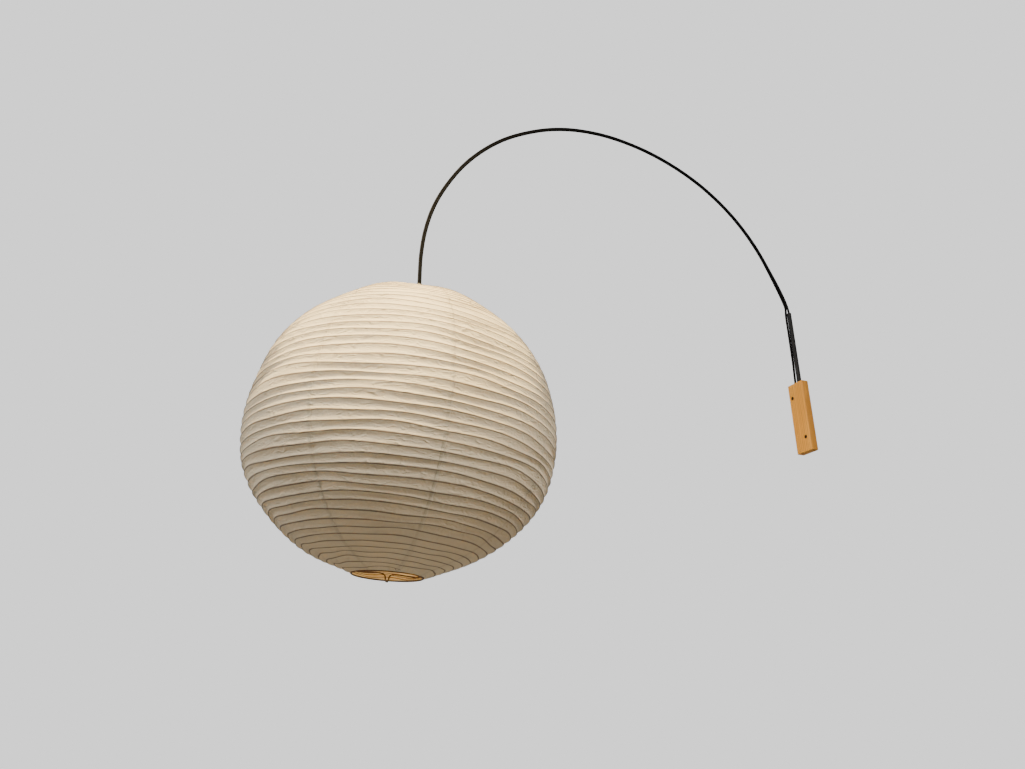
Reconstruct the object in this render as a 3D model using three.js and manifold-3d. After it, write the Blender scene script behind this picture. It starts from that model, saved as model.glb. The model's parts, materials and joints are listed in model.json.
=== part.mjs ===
// A wall lamp: a wooden wall block, a long bent rod with its flex along its inner side, and a
// round paper lantern hanging from the rod's tip. Millimetres, +Z up. The wall is the plane y = 0 and
// the room is on its -Y side; the origin is the centre of the block's back face.

import * as THREE from 'three';
import { mergeVertices } from 'three/addons/utils/BufferGeometryUtils.js';
import Module from 'manifold-3d';

const wasm = await Module();
wasm.setup();

// ---------------------------------------------------------------- driving dimensions

const GAP = 0.3;                      // space left between pieces that touch
const TAU = Math.PI * 2;

const BLOCK = { width: 52, depth: 20, height: 185, chamfer: 1.5 };
const SLEEVE = { x: 7, outer: 5.5, inner: 4.1, above: 200, below: 60 };
const ROD = { rootRadius: 2.9, tipRadius: 1.75, insert: 45, steps: 84 };
const FLEX = { radius: 2.8, entryX: -7, stand: 0.9, steps: 88 };
const REACH = 1023;                   // wall to the lantern's hanging point
const BAR_SIDES = 8;                  // sides of the rod's and the flex's section
const PIVOT_Z = 138;                  // hanging point, above the block's centre
const ROD_TIP_Z = 156;                // end of the rod, above the block's centre
const TIP_Y = -REACH - ROD.tipRadius - FLEX.radius - FLEX.stand;   // the flex hangs behind the tip

const SCREW = { head: 4.5, shank: 2.3, headDepth: 3.2, upper: [-15, 55.5], lower: [10.5, -55.5] };
const POCKET = { left: -22, right: -3, depth: 13.5, top: 22, bottom: -38 };

const LEAN = THREE.MathUtils.degToRad(3.18);         // the lantern hangs a little out of plumb
const LEAN_HEADING = THREE.MathUtils.degToRad(68);   // its top leans this way, +X towards +Y
const CENTRE_DROP = 366;              // hanging point down to the lantern's middle

const PAPER = { thickness: 0.5, gores: 8 };
const TOP_RIM = { radius: 78, z: 341 };              // heights from the lantern's middle
const BOTTOM_RIM = { radius: 66.5, z: -223.5 };
const RIM_WIRE = 1.5;
const RIB = { turns: 46, radius: 1, inset: 6.5, perTurn: 10 };
const SPREADER_WIRE = 1.3;
const HOLDER = { neck: -26, cap: -38, shoulder: -62, rim: -92, radius: 20 };

// the lantern's outline, radius and height from its middle, from the bottom rim to the top rim
const OUTLINE = [
  [BOTTOM_RIM.radius + 2.2, BOTTOM_RIM.z], [173, -180], [244.5, -120], [284, -60], [300, 0],
  [303, 60], [293.5, 120], [274, 180], [235, 240], [193.5, 279], [140, 317],
  [TOP_RIM.radius + 2.2, TOP_RIM.z],
];

// the rod's centre line: distance from the hanging point towards the wall, and height from the
// lantern's middle were it plumb
const ARCH = [
  [1009, 543], [998, 575], [975, 625], [924, 719], [854, 802], [759, 872], [638, 922],
  [521, 942], [433, 940], [345, 922], [260, 885], [180, 832], [106, 756], [55, 677],
  [21, 601], [3, 530], [-4, 465],
];
const MIDDLE_Z = PIVOT_Z - CENTRE_DROP * Math.cos(LEAN);

// ---------------------------------------------------------------- finishes

const finish = (color, roughness, metalness = 0) =>
  new THREE.MeshStandardMaterial({ color, roughness, metalness });
const OAK = finish(0xd49141, 0.6);
const BLACK_ROD = finish(0x1c1c1c, 0.45);
const BLACK_FLEX = finish(0x161616, 0.6);
const DARK_STEEL = finish(0x4c4d4f, 0.4, 0.8);
const BRONZED = finish(0x3a2a1a, 0.45, 0.8);
const BLACK_PLASTIC = finish(0x1a1a1a, 0.4);
const WHITE_PLASTIC = finish(0xe9e6de, 0.5);
const BRASS = finish(0xb08d4a, 0.35, 0.9);
const ALUMINIUM = finish(0xb9bbbd, 0.35, 0.9);
const CERAMIC = finish(0xeee9df, 0.3);
const FROSTED = finish(0xf6f1e4, 0.5);
const WASHI = finish(0xdccfb2, 0.9);
const RIB_WIRE = finish(0xd8ccb0, 0.6);
const WIRE = finish(0x2a2622, 0.5, 0.6);

// ---------------------------------------------------------------- geometry helpers

// A closed geometry with shared vertices, no empty triangles, and its faces pointing out.
function tidy(geometry) {
  const bare = new THREE.BufferGeometry();
  bare.setAttribute('position', geometry.getAttribute('position').clone());
  if (geometry.index) bare.setIndex(geometry.index.clone());
  const merged = mergeVertices(bare, 1e-3);
  const kept = [];
  const corner = [new THREE.Vector3(), new THREE.Vector3(), new THREE.Vector3()];
  let volume = 0;
  for (let i = 0; i < merged.index.count; i += 3) {
    const face = [merged.index.getX(i), merged.index.getX(i + 1), merged.index.getX(i + 2)];
    if (face[0] === face[1] || face[1] === face[2] || face[2] === face[0]) continue;
    face.forEach((vertex, k) => corner[k].fromBufferAttribute(merged.getAttribute('position'), vertex));
    volume += corner[0].dot(corner[1].clone().cross(corner[2]));
    kept.push(face);
  }
  merged.setIndex(kept.flatMap((face) => (volume < 0 ? face.reverse() : face)));
  merged.computeVertexNormals();
  return merged;
}

const solidOf = (geometry) => {
  const closed = tidy(geometry);
  return new wasm.Manifold(new wasm.Mesh({
    numProp: 3,
    vertProperties: new Float32Array(closed.getAttribute('position').array),
    triVerts: new Uint32Array(closed.index.array),
  }));
};

// The first geometry with all the others cut out of it.
function cut(geometry, ...tools) {
  let solid = solidOf(geometry);
  for (const tool of tools) solid = solid.subtract(solidOf(tool));
  const mesh = solid.getMesh();
  const result = new THREE.BufferGeometry();
  result.setAttribute('position', new THREE.BufferAttribute(new Float32Array(mesh.vertProperties), 3));
  result.setIndex([...mesh.triVerts]);
  return tidy(result);
}

const box = (sizeX, sizeY, sizeZ, x, y, z) =>
  new THREE.BoxGeometry(sizeX, sizeY, sizeZ).translate(x, y, z);

// A cylinder along Z from one height to another.
const rod = (radius, low, high, x, y, sides = 20) =>
  new THREE.CylinderGeometry(radius, radius, high - low, sides)
    .rotateX(Math.PI / 2).translate(x, y, (low + high) / 2);

// A turned piece about Z: its profile is a closed list of [radius, z].
function turned(profile, sides = 20) {
  const points = [...profile, profile[0]].map(([radius, z]) => new THREE.Vector2(radius, z));
  return tidy(new THREE.LatheGeometry(points, sides).rotateX(Math.PI / 2));
}

// A round bar along a curve, with a radius that may change along it and a closed or looped end.
function bar(curve, radiusAt, steps, sides, looped = false) {
  const frames = curve.computeFrenetFrames(steps, looped);
  const rings = looped ? steps : steps + 1;
  const positions = [];
  const faces = [];
  for (let i = 0; i < rings; i++) {
    const centre = curve.getPointAt(i / steps);
    for (let k = 0; k < sides; k++) {
      const angle = (k / sides) * TAU;
      const point = centre.clone()
        .addScaledVector(frames.normals[i], Math.cos(angle) * radiusAt(i / steps))
        .addScaledVector(frames.binormals[i], Math.sin(angle) * radiusAt(i / steps));
      positions.push(point.x, point.y, point.z);
    }
  }
  for (let i = 0; i < steps; i++) {
    for (let k = 0; k < sides; k++) {
      const next = (i + 1) % rings;
      const a = i * sides + k;
      const b = i * sides + (k + 1) % sides;
      const c = next * sides + (k + 1) % sides;
      const d = next * sides + k;
      faces.push(a, b, c, a, c, d);
    }
  }
  if (!looped) {
    for (let k = 1; k < sides - 1; k++) {
      faces.push(0, k + 1, k);
      faces.push(steps * sides, steps * sides + k, steps * sides + k + 1);
    }
  }
  const geometry = new THREE.BufferGeometry();
  geometry.setAttribute('position', new THREE.Float32BufferAttribute(positions, 3));
  geometry.setIndex(faces);
  return tidy(geometry);
}

const place = (points) => points.map(([x, y, z]) => new THREE.Vector3(x, y, z));
const smooth = (points) => new THREE.CatmullRomCurve3(place(points), false, 'centripetal');

// ---------------------------------------------------------------- the assembly

const lamp = new THREE.Group();

function add(parent, name, geometry, material) {
  const mesh = new THREE.Mesh(tidy(geometry), material);
  mesh.name = name;
  parent.add(mesh);
  return mesh;
}

// ---------------------------------------------------------------- wall block and its screws

const MID_Y = -BLOCK.depth / 2;
const BLOCK_TOP = BLOCK.height / 2;
const SLEEVE_BOTTOM = BLOCK_TOP - SLEEVE.below;
const FRONT = -BLOCK.depth;

function wallBlock() {
  const half = { x: BLOCK.width / 2, z: BLOCK.height / 2 };
  const c = BLOCK.chamfer;
  const face = new THREE.Shape([
    new THREE.Vector2(-half.x + c, -half.z), new THREE.Vector2(half.x - c, -half.z),
    new THREE.Vector2(half.x, -half.z + c), new THREE.Vector2(half.x, half.z - c),
    new THREE.Vector2(half.x - c, half.z), new THREE.Vector2(-half.x + c, half.z),
    new THREE.Vector2(-half.x, half.z - c), new THREE.Vector2(-half.x, -half.z + c),
  ]);
  // the bevel softens the front edges only: the back stays flat against the wall
  const board = new THREE.ExtrudeGeometry(face, {
    depth: BLOCK.depth - c, bevelEnabled: true, bevelThickness: c, bevelSize: c,
    bevelOffset: -c, bevelSegments: 1,
  });
  const body = board.rotateX(Math.PI / 2);
  const backTrim = box(BLOCK.width * 2, c * 2, BLOCK.height * 2, 0, c, 0);
  const pocketHeight = POCKET.top - POCKET.bottom;
  const pocket = box(POCKET.right - POCKET.left, POCKET.depth * 2, pocketHeight,
    (POCKET.left + POCKET.right) / 2, 0, (POCKET.top + POCKET.bottom) / 2);
  const swivelBore = rod(SLEEVE.outer + GAP + 0.1, SLEEVE_BOTTOM - GAP, BLOCK_TOP + 1, SLEEVE.x, MID_Y, 28);
  const flexHole = rod(FLEX.radius + GAP * 2, POCKET.top - 1, BLOCK_TOP + 1, FLEX.entryX, MID_Y, 16);
  const screwHoles = [SCREW.upper, SCREW.lower].map(([x, z]) => screwForm(x, z, GAP, 1));
  const pilot = acrossY(CLAMP.screw + GAP, FRONT + 2.5, FRONT + 7, CLAMP.screwX, CLAMP.z, 10);
  return cut(body, backTrim, pocket, swivelBore, flexHole, ...screwHoles, pilot);
}

// A cylinder or cone along Y, from the room side to the wall side.
function acrossY(radius, near, far, x, z, sides = 16, nearRadius = radius) {
  return new THREE.CylinderGeometry(radius, nearRadius, far - near, sides)
    .translate(x, (near + far) / 2, z);
}

// A countersunk screw's outline, grown by a clearance for the hole that it sits in.
function screwForm(x, z, clearance, overrun) {
  const profile = [
    [0, FRONT - overrun], [SCREW.head + clearance, FRONT - overrun], [SCREW.head + clearance, FRONT + 0.6],
    [SCREW.shank + clearance, FRONT + SCREW.headDepth],
    [SCREW.shank + clearance, overrun - 0.4], [0, overrun - 0.4],
  ].map(([radius, y]) => new THREE.Vector2(radius, y));
  return new THREE.LatheGeometry(profile, 16).translate(x, 0, z);
}

const CLAMP = { z: 13, left: -21.5, right: -3.8, screwX: -15, screw: 1.5, thickness: 2 };

add(lamp, 'wall_block', wallBlock(), OAK);

[['wall_screw_upper', SCREW.upper], ['wall_screw_lower', SCREW.lower]].forEach(([name, [x, z]]) => {
  const slots = [box(5, 3, 1.1, x, FRONT, z), box(1.1, 3, 5, x, FRONT, z)];
  add(lamp, name, cut(screwForm(x, z, 0, 0), ...slots), BRONZED);
});

// ---------------------------------------------------------------- wiring pocket

// a flat bar holds the flex down against the pocket's floor, so no pull reaches the terminals
const POCKET_FLOOR = -POCKET.depth;
const barFace = MID_Y + FLEX.radius + GAP;
const barBack = barFace + CLAMP.thickness;
add(lamp, 'cord_clamp', cut(
  box(CLAMP.right - CLAMP.left, CLAMP.thickness, 6, (CLAMP.left + CLAMP.right) / 2,
    barFace + CLAMP.thickness / 2, CLAMP.z),
  acrossY(CLAMP.screw + GAP, barFace - 1, barBack + 1, CLAMP.screwX, CLAMP.z, 10),
), WHITE_PLASTIC);

const clampScrew = new THREE.LatheGeometry([
  [0, FRONT + 3.2], [CLAMP.screw, FRONT + 3.2], [CLAMP.screw, barBack + GAP],
  [2.8, barBack + GAP], [2.8, barBack + 1.8], [0, barBack + 1.8],
].map(([radius, y]) => new THREE.Vector2(radius, y)), 12).translate(CLAMP.screwX, 0, CLAMP.z);
add(lamp, 'clamp_screw', cut(clampScrew, box(7, 1.2, 0.8, CLAMP.screwX, barBack + 1.8, CLAMP.z)), ALUMINIUM);

// a two-way terminal block: the flex's two cores from above, the building's wires from below
const TERMINAL = { x: -13, width: 15, height: 18, top: 4, back: -2.5, ways: [-3.8, 3.8], rows: [4, 14] };
const terminalPlaces = TERMINAL.ways.flatMap((x) =>
  TERMINAL.rows.map((down) => [TERMINAL.x + x, TERMINAL.top - down]));
const terminalBody = box(TERMINAL.width, POCKET.depth + TERMINAL.back - GAP, TERMINAL.height, TERMINAL.x,
  (POCKET_FLOOR + GAP + TERMINAL.back) / 2, TERMINAL.top - TERMINAL.height / 2);
const screwWells = terminalPlaces.map(([x, z]) =>
  acrossY(2.2, TERMINAL.back - 5, TERMINAL.back + 1, x, z, 12));
add(lamp, 'terminal_block', cut(terminalBody, ...screwWells), WHITE_PLASTIC);

terminalPlaces.forEach(([x, z], i) => {
  const screw = acrossY(1.7, TERMINAL.back - 4.6, TERMINAL.back - 1.2, x, z, 12);
  add(lamp, `terminal_screw_${i + 1}`, cut(screw, box(5, 1, 0.6, x, TERMINAL.back - 1.2, z)), BRASS);
});

// ---------------------------------------------------------------- swivel sleeve, rod and flex

const SLEEVE_TOP = BLOCK_TOP + SLEEVE.above;
add(lamp, 'arm_sleeve', turned([
  [SLEEVE.inner, SLEEVE_BOTTOM], [SLEEVE.outer, SLEEVE_BOTTOM],
  [SLEEVE.outer, SLEEVE_TOP], [SLEEVE.inner, SLEEVE_TOP],
], 24).translate(SLEEVE.x, MID_Y, 0), DARK_STEEL);

const archPoint = ([inward, height]) => [SLEEVE.x, inward - REACH, MIDDLE_Z + height];
const rodCurve = smooth([
  [SLEEVE.x, MID_Y, SLEEVE_TOP - ROD.insert], [SLEEVE.x, MID_Y, SLEEVE_TOP - ROD.insert / 2],
  [SLEEVE.x, MID_Y, SLEEVE_TOP + 1], ...ARCH.map(archPoint),
  [SLEEVE.x, TIP_Y, ROD_TIP_Z + 25], [SLEEVE.x, TIP_Y, ROD_TIP_Z],
]);
const rodRadius = (t) => THREE.MathUtils.lerp(ROD.rootRadius, ROD.tipRadius, t);
add(lamp, 'arm_rod', bar(rodCurve, rodRadius, ROD.steps, BAR_SIDES), BLACK_ROD);

// The flex is one cable. Its tail stays in the block, under the terminals' clamp, and the rest
// turns with the arm: it leaves the block beside the sleeve, comes round to the inner side of the
// bend, lies along the rod on that side and ends just over the hanging point.
const beside = (SLEEVE.outer + FLEX.radius + FLEX.stand) * Math.SQRT1_2;

function flexRoute() {
  const points = [
    [FLEX.entryX, MID_Y, BLOCK_TOP + GAP], [FLEX.entryX, MID_Y, BLOCK_TOP + 8],
    [SLEEVE.x - beside - 1.2, MID_Y - beside + 1, BLOCK_TOP + 60],
    [SLEEVE.x - beside, MID_Y - beside, SLEEVE_TOP - 70], [SLEEVE.x - beside, MID_Y - beside, SLEEVE_TOP - 5],
  ];
  const across = new THREE.Vector3(1, 0, 0);
  for (let t = 0.05; t < 0.97; t += 0.045) {
    const turn = Math.PI / 4 * (1 + THREE.MathUtils.smoothstep(t, 0.02, 0.15));
    const inner = rodCurve.getTangentAt(t).cross(across).normalize().multiplyScalar(-Math.sin(turn));
    const side = across.clone().multiplyScalar(-Math.cos(turn)).add(inner);
    const stand = rodRadius(t) + FLEX.radius + FLEX.stand;
    points.push(rodCurve.getPointAt(t).addScaledVector(side, stand).toArray());
  }
  points.push([SLEEVE.x, -REACH, ROD_TIP_Z + 3], [SLEEVE.x, -REACH, PIVOT_Z + 4.6]);
  return smooth(points);
}
add(lamp, 'flex_tail', rod(FLEX.radius, TERMINAL.top + GAP, BLOCK_TOP, FLEX.entryX, MID_Y, BAR_SIDES),
  BLACK_FLEX);
const flexCurve = flexRoute();
add(lamp, 'flex_arm', bar(flexCurve, () => FLEX.radius, FLEX.steps, BAR_SIDES), BLACK_FLEX);

// ---------------------------------------------------------------- rod tip and hanging point

// a moulded clip grips the rod's tip and the flex beside it, and opens in a bell round the bend
const CLIP = { y: -REACH - 1.8, bottom: PIVOT_Z - 1, top: ROD_TIP_Z + 8, radius: 8, mouth: 5.4 };
const clipBody = turned([
  [0, CLIP.bottom], [CLIP.radius, CLIP.bottom], [CLIP.radius, PIVOT_Z + 6],
  [CLIP.radius - 0.8, CLIP.top - 1.5], [CLIP.radius - 2.3, CLIP.top], [0, CLIP.top],
], 20);
const bell = turned([
  [0, CLIP.bottom - 1], [CLIP.mouth, CLIP.bottom - 1], [FLEX.radius + 1, PIVOT_Z + 5], [0, PIVOT_Z + 5],
], 16);
add(lamp, 'tip_clip', cut(
  clipBody.translate(SLEEVE.x, CLIP.y, 0),
  bell.translate(SLEEVE.x, -REACH, 0),
  bar(rodCurve, (t) => rodRadius(t) + GAP * 2, ROD.steps, BAR_SIDES),
  bar(flexCurve, () => FLEX.radius + GAP * 2, FLEX.steps, BAR_SIDES),
), BLACK_PLASTIC);

// the short bend of the flex at the hanging point
const knuckle = new THREE.Group();
knuckle.position.set(SLEEVE.x, -REACH, PIVOT_Z);
lamp.add(knuckle);
add(knuckle, 'flex_bend', new THREE.SphereGeometry(FLEX.radius - 0.2, 10, 8), BLACK_FLEX);

// ---------------------------------------------------------------- lantern, hanging from there

// z = 0 is the hanging point; the lantern's middle is CENTRE_DROP below it
const lantern = new THREE.Group();
lantern.position.copy(knuckle.position);
const leanAxis = new THREE.Vector3(-Math.sin(LEAN_HEADING), Math.cos(LEAN_HEADING), 0);
lantern.quaternion.setFromAxisAngle(leanAxis, LEAN);
lamp.add(lantern);

const level = (height) => height - CENTRE_DROP;      // height from the lantern's middle
const H = HOLDER;
add(lantern, 'flex_drop', rod(FLEX.radius, H.shoulder + 3, -FLEX.radius - GAP, 0, 0, BAR_SIDES), BLACK_FLEX);

add(lantern, 'cord_grip', turned([
  [FLEX.radius + GAP, H.cap - 6], [5.4, H.cap - 6], [5.4, H.cap + 1], [7.6, H.cap + 1], [7.6, H.neck - 6],
  [4.6, H.neck], [FLEX.radius + GAP, H.neck],
], 16), BLACK_PLASTIC);

add(lantern, 'lampholder_cap', turned([
  [5.8, H.cap - 2.5], [5.8, H.cap], [9, H.cap], [17, H.cap - 5], [H.radius, H.cap - 12],
  [H.radius, H.shoulder], [H.radius - 2.2, H.shoulder], [H.radius - 2.2, H.cap - 12.5],
  [15.6, H.cap - 7], [8.6, H.cap - 2.5],
], 20), BLACK_PLASTIC);

add(lantern, 'lampholder_shell', turned([
  [H.radius, H.shoulder - GAP], [H.radius, H.shoulder - 6], [H.radius - 1, H.shoulder - 6.5],
  [H.radius - 1, H.rim], [H.radius - 3, H.rim], [H.radius - 3, H.shoulder - GAP],
], 20), BLACK_PLASTIC);

const insertRadius = H.radius - 3.4;
add(lantern, 'lampholder_insert', turned([
  [0, H.shoulder - 1], [0, H.shoulder - 7], [insertRadius, H.shoulder - 7], [insertRadius, H.shoulder - 1],
], 16), CERAMIC);

const contactTop = H.shoulder - 7 - GAP;
add(lantern, 'centre_contact', new THREE.ExtrudeGeometry(new THREE.Shape([
  new THREE.Vector2(-5, 0), new THREE.Vector2(5, 0), new THREE.Vector2(5, -0.8), new THREE.Vector2(1, -0.8),
  new THREE.Vector2(-1.5, -3.6), new THREE.Vector2(-2.2, -3.1), new THREE.Vector2(-0.4, -0.8),
  new THREE.Vector2(-5, -0.8),
]), { depth: 5, bevelEnabled: false }).rotateX(Math.PI / 2).translate(0, 2.5, contactTop), BRASS);
add(lantern, 'side_contact', box(0.8, 6, 12, insertRadius - 1.2, 0, contactTop - 6), BRASS);

// the nut that clamps the spreader's loop against the lampholder's flange
const NUT = { top: H.shoulder - 6.5 - GAP - SPREADER_WIRE * 2 - GAP * 2, height: 5 };
add(lantern, 'shade_ring', turned([
  [H.radius - 1 + GAP, NUT.top], [27, NUT.top], [27, NUT.top - NUT.height + 1], [26, NUT.top - NUT.height],
  [H.radius - 1 + GAP, NUT.top - NUT.height],
], 24), BLACK_PLASTIC);

// ---------------------------------------------------------------- bulb

const BULB = { cap: 13.2, tip: contactTop - 4.2, globe: 30 };
const capTop = BULB.tip - 3.2;
const capBottom = capTop - 20;
add(lantern, 'bulb_contact', rod(3.6, BULB.tip - 1.6, BULB.tip, 0, 0, 12), ALUMINIUM);
add(lantern, 'bulb_insulator', turned([
  [0, BULB.tip - 1.6 - GAP], [4.2, BULB.tip - 1.6 - GAP],
  [9.5, capTop - 1], [9.5, capTop - 4], [0, capTop - 4],
], 16), BLACK_PLASTIC);
add(lantern, 'bulb_screw_cap', turned([
  [9.8, capTop], [BULB.cap, capTop - 2], [BULB.cap, capBottom], [9.8, capBottom],
], 20), ALUMINIUM);
add(lantern, 'bulb_housing', turned([
  [0, capTop - 6], [9.4, capTop - 6], [9.4, capBottom - GAP], [13.4, capBottom - GAP], [15.5, capBottom - 8],
  [22, capBottom - 26], [0, capBottom - 26],
], 20), WHITE_PLASTIC);

function bulbGlobe() {
  const top = capBottom - 26 - GAP;
  const centre = top - 22;
  const arc = (radius, from, to, count) => Array.from({ length: count + 1 }, (_, i) => {
    const angle = from + (to - from) * (i / count);
    return [Math.max(0, radius * Math.cos(angle)), centre + radius * Math.sin(angle)];
  });
  const opening = Math.asin(22 / BULB.globe);
  return turned([
    ...arc(BULB.globe, opening, -Math.PI / 2, 7), ...arc(BULB.globe - 1.5, -Math.PI / 2, opening, 7),
  ], 20);
}
add(lantern, 'bulb_globe', bulbGlobe(), FROSTED);

// ---------------------------------------------------------------- spreader

// One wire: a loop round the lampholder, shoulders under the top rim, two legs down the inside
// and a bar across the bottom rim with a small nib that hooks below it.
function spreaderRoute() {
  const loopZ = H.shoulder - 6.5 - GAP * 2 - SPREADER_WIRE;
  const shoulderZ = level(TOP_RIM.z) - RIM_WIRE - SPREADER_WIRE - GAP;
  const footZ = level(BOTTOM_RIM.z) + RIM_WIRE + SPREADER_WIRE + GAP;
  const loopR = H.radius + SPREADER_WIRE + 0.3;
  const side = (sign) => [
    [sign * loopR * Math.cos(0.25), loopR * Math.sin(0.25), loopZ], [sign * 27, 1, loopZ],
    [sign * 33, 0, loopZ + 2], [sign * 68, 0, shoulderZ - 6],
    [sign * 75, 0, shoulderZ], [sign * 79, 0, shoulderZ - 8], [sign * 80, 0, shoulderZ - 60],
    [sign * 84, 0, (shoulderZ + footZ) / 2], [sign * 73, 0, footZ + 40],
    [sign * 66, 0, footZ + 4], [sign * 61, 0, footZ], [sign * 40, 0, footZ],
    [sign * 9, 0, footZ], [sign * 4, 0, footZ - 4], [sign * 2.6, 0, footZ - 12],
  ];
  const loop = [];
  for (let i = 1; i < 6; i++) {
    const angle = Math.PI - 0.25 - (i / 6) * (Math.PI - 0.5);
    loop.push([loopR * Math.cos(angle), loopR * Math.sin(angle), loopZ]);
  }
  const nib = [[0, 0, footZ - 15]];
  const points = place([...loop, ...side(1), ...nib, ...side(-1).reverse()]);
  return new THREE.CatmullRomCurve3(points, true, 'centripetal');
}
// its legs stand to the room side and the wall side
const spreader = bar(spreaderRoute(), () => SPREADER_WIRE, 120, 6, true);
add(lantern, 'spreader_frame', spreader.rotateZ(Math.PI / 2), WIRE);

// ---------------------------------------------------------------- paper shade

const outline = new THREE.CatmullRomCurve3(
  OUTLINE.map(([radius, z]) => new THREE.Vector3(radius, 0, level(z))), false, 'centripetal');

const ring = (radius, z) => new THREE.TorusGeometry(radius, RIM_WIRE, 6, 30).translate(0, 0, level(z));
add(lantern, 'rim_ring_top', ring(TOP_RIM.radius, TOP_RIM.z), WIRE);
add(lantern, 'rim_ring_bottom', ring(BOTTOM_RIM.radius, BOTTOM_RIM.z), WIRE);

// one long wire winds up the inside of the paper from rim to rim
class RibCurve extends THREE.Curve {
  getPoint(t) {
    const along = THREE.MathUtils.lerp(0.03, 0.97, t);
    const onPaper = outline.getPointAt(along);
    const tangent = outline.getTangentAt(along);
    const radius = onPaper.x - tangent.z * RIB.inset;
    const angle = t * RIB.turns * TAU;
    const z = onPaper.z + tangent.x * RIB.inset;
    return new THREE.Vector3(radius * Math.cos(angle), radius * Math.sin(angle), z);
  }
}

function ribSpiral() {
  const curve = new RibCurve();
  curve.getPointAt = (t) => curve.getPoint(t);
  curve.getTangentAt = (t) => curve.getTangent(t);
  return bar(curve, () => RIB.radius, RIB.turns * RIB.perTurn, 4);
}
add(lantern, 'rib_spiral', ribSpiral(), RIB_WIRE);

// one sheet of the shade, as a thin curved panel between two upright seams
function paperGore(index) {
  const rows = 13;
  const columns = 3;
  const span = TAU / PAPER.gores;
  const positions = [];
  for (let layer = 0; layer < 2; layer++) {
    for (let row = 0; row <= rows; row++) {
      const point = outline.getPointAt(row / rows);
      const tangent = outline.getTangentAt(row / rows);
      const radius = point.x - tangent.z * PAPER.thickness * layer;
      const z = point.z + tangent.x * PAPER.thickness * layer;
      const seam = GAP / 2 / radius;
      for (let column = 0; column <= columns; column++) {
        const angle = index * span + seam + (span - seam * 2) * (column / columns);
        positions.push(radius * Math.cos(angle), radius * Math.sin(angle), z);
      }
    }
  }
  const at = (layer, row, column) => (layer * (rows + 1) + row) * (columns + 1) + column;
  const faces = [];
  const quad = (a, b, c, d) => faces.push(a, b, c, a, c, d);
  for (let row = 0; row < rows; row++) {
    for (let column = 0; column < columns; column++) {
      quad(at(0, row, column), at(0, row, column + 1), at(0, row + 1, column + 1), at(0, row + 1, column));
      quad(at(1, row, column), at(1, row + 1, column), at(1, row + 1, column + 1), at(1, row, column + 1));
    }
    quad(at(0, row, 0), at(0, row + 1, 0), at(1, row + 1, 0), at(1, row, 0));
    quad(at(0, row, columns), at(1, row, columns), at(1, row + 1, columns), at(0, row + 1, columns));
  }
  for (let column = 0; column < columns; column++) {
    quad(at(0, 0, column), at(1, 0, column), at(1, 0, column + 1), at(0, 0, column + 1));
    quad(at(0, rows, column), at(0, rows, column + 1), at(1, rows, column + 1), at(1, rows, column));
  }
  const geometry = new THREE.BufferGeometry();
  geometry.setAttribute('position', new THREE.Float32BufferAttribute(positions, 3));
  geometry.setIndex(faces);
  return geometry;
}
for (let i = 0; i < PAPER.gores; i++) add(lantern, `paper_gore_${i + 1}`, paperGore(i), WASHI);

export default lamp;
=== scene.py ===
# %% [markdown]
# # A paper lantern on a bent wall arm
#
# The real lamp is a long springy rod that stands in a small wooden wall block and bends over
# under its own curve, with a black flex along its inner side. A round paper lantern hangs from
# the tip. Here each real piece becomes one Blender object: its place comes from the packed
# model, and its fine surface is made in this file.

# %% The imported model
import json
import math

import bmesh
import bpy
import numpy as np
from mathutils import Matrix, Vector


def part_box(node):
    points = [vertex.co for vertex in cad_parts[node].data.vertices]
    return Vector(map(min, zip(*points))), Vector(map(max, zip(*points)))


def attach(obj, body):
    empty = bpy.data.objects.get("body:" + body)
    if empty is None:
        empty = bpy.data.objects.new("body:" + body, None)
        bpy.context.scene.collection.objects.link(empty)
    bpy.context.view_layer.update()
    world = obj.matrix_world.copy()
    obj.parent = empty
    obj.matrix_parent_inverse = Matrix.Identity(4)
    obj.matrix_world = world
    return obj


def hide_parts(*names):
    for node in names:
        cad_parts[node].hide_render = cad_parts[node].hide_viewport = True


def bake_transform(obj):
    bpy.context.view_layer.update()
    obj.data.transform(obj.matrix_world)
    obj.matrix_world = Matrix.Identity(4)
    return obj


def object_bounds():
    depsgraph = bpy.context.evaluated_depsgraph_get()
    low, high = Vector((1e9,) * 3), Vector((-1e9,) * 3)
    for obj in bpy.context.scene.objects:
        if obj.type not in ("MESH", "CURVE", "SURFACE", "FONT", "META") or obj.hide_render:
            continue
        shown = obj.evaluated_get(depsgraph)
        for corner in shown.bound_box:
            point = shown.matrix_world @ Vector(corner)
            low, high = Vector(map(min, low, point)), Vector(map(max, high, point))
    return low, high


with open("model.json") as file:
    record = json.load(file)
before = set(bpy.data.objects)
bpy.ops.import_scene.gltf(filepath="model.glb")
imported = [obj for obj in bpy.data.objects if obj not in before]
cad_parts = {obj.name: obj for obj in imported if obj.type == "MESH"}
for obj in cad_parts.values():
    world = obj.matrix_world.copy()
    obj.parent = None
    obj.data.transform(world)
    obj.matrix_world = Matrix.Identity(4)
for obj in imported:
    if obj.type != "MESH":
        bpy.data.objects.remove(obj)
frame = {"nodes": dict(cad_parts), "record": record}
cad_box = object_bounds()
joints = {joint["name"]: joint for joint in frame["record"]["behaviour"]["joints"]}

# %% [markdown]
# ## The camera
#
# A wide lens close under the lantern looks up at it. Verticals lean towards each other as they
# do for a person on the floor who looks up at a lamp overhead. The camera has no roll, so its
# place, its heading, its tilt and its lens say everything.

# %% Camera
VIEWPOINT = (1.4257, -1.388, -0.6604)
HEADING, TILT_UP, LENS = 67.78, 22.19, 27.04

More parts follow.
